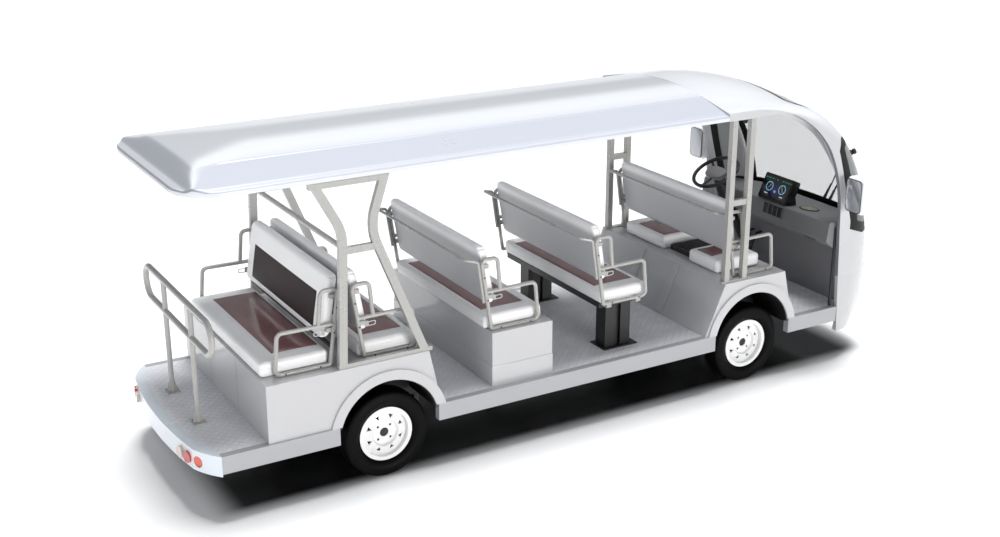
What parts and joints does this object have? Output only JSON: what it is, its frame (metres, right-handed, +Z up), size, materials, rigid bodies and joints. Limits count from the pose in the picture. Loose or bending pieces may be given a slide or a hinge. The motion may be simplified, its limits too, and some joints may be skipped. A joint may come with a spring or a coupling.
{
  "type": "electric sightseeing vehicle",
  "caption": "Open-sided electric sightseeing vehicle with rows of bench seats, a full roof, a curved windscreen and a rear platform with a handrail.",
  "frame": {"origin": "on the ground under the middle of the vehicle's overall box", "axes": "+X forward, +Y to the vehicle's left, +Z up"},
  "size_m": [5.3276, 1.922, 2.072],
  "materials": {
    "battery_case": "black battery case",
    "body_white": "glossy moulded body panels, white",
    "dash_grey": "grained grey moulding",
    "deck_plate": "raised tread plate, bare",
    "frame_black": "black chassis paint",
    "glass_clear": "clear laminated glass with a black edge band",
    "lamp_clear": "clear lamp lens",
    "lamp_red": "red and amber lamp lenses",
    "liner_black": "black wheel arch liner",
    "mirror_shell": "white mirror shell",
    "rim_white": "white painted steel wheel",
    "screen_black": "black glass display",
    "seat_back": "white vinyl front, grey moulded rear",
    "seat_white": "white glossy vinyl with a dark red inset",
    "sill_grey": "satin light grey paint",
    "trim_black": "black grained plastic",
    "tube_grey": "warm light grey powder coat",
    "tyre_black": "black rubber"
  },
  "bodies": {
    "root": {"backrest_row1": "seat_back", "backrest_row2": "seat_back", "backrest_row3": "seat_back", "backrest_row4": "seat_back", "backrest_row5": "seat_back", "battery_pack": "battery_case", "chassis_frame": "frame_black", "dashboard": "dash_grey", "display_screen": "screen_black", "door_mirrors": "mirror_shell", "firewall_panel": "dash_grey", "floor_deck": "deck_plate", "front_axle": "frame_black", "front_bumper": "body_white", "front_cap": "body_white", "front_roof_posts": "tube_grey", "front_seat_box": "body_white", "headlamps": "lamp_clear", "leaf_springs": "frame_black", "pedals": "trim_black", "rear_axle": "frame_black", "rear_bumper": "tube_grey", "rear_handrail": "tube_grey", "rear_platform_plate": "deck_plate", "rear_roof_frame": "tube_grey", "rear_seat_box": "body_white", "roof_shell": "body_white", "row2_seat_stand": "frame_black", "row3_seat_box": "body_white", "seat_cushion_driver": "seat_white", "seat_cushion_front_passenger": "seat_white", "seat_cushion_row2": "seat_white", "seat_cushion_row3": "seat_white", "seat_cushion_row4": "seat_white", "seat_cushion_row5": "seat_white", "seat_gap_cover": "trim_black", "seat_rails_row1": "tube_grey", "seat_rails_row2": "tube_grey", "seat_rails_row3": "tube_grey", "seat_rails_row4": "tube_grey", "seat_rails_row5": "tube_grey", "side_sills": "sill_grey", "steering_column": "trim_black", "tail_lamps": "lamp_red", "wheel_liners": "liner_black", "windscreen": "glass_clear", "wipers": "trim_black"},
    "wheel_rear_left": {"tyre_rear_left": "tyre_black", "rim_rear_left": "rim_white"},
    "wheel_rear_right": {"tyre_rear_right": "tyre_black", "rim_rear_right": "rim_white"},
    "wheel_front_left": {"tyre_front_left": "tyre_black", "rim_front_left": "rim_white"},
    "wheel_front_right": {"tyre_front_right": "tyre_black", "rim_front_right": "rim_white"},
    "knuckle_left": {"knuckle_left": "frame_black"},
    "knuckle_right": {"knuckle_right": "frame_black"},
    "steering_wheel": {"steering_wheel": "trim_black"}
  },
  "joints": [
    {"name": "rear_left_wheel_spin", "type": "hinge", "parent": "root", "child": "wheel_rear_left", "pos_m": [-1.454, 0.6225, 0.278], "axis": [0, 1, 0], "continuous": true},
    {"name": "rear_right_wheel_spin", "type": "hinge", "parent": "root", "child": "wheel_rear_right", "pos_m": [-1.454, -0.6225, 0.278], "axis": [0, 1, 0], "continuous": true},
    {"name": "steer_left", "type": "hinge", "parent": "root", "child": "knuckle_left", "pos_m": [1.346, 0.52, 0.278], "axis": [0, 0, 1], "range_deg": [-30, 30]},
    {"name": "steer_right", "type": "hinge", "parent": "root", "child": "knuckle_right", "pos_m": [1.346, -0.52, 0.278], "axis": [0, 0, 1], "range_deg": [-30, 30]},
    {"name": "front_left_wheel_spin", "type": "hinge", "parent": "knuckle_left", "child": "wheel_front_left", "pos_m": [1.346, 0.6225, 0.278], "axis": [0, 1, 0], "continuous": true},
    {"name": "front_right_wheel_spin", "type": "hinge", "parent": "knuckle_right", "child": "wheel_front_right", "pos_m": [1.346, -0.6225, 0.278], "axis": [0, 1, 0], "continuous": true},
    {"name": "steering_wheel_turn", "type": "hinge", "parent": "root", "child": "steering_wheel", "pos_m": [1.852, 0.35, 1.21], "axis": [-0.4695, 0, 0.8829], "range_deg": [-420, 420]}
  ],
  "couplings": [
    {"joint": "steer_left", "follows": "steer_right", "ratio": 1},
    {"joint": "steering_wheel_turn", "follows": "steer_right", "ratio": 14}
  ]
}
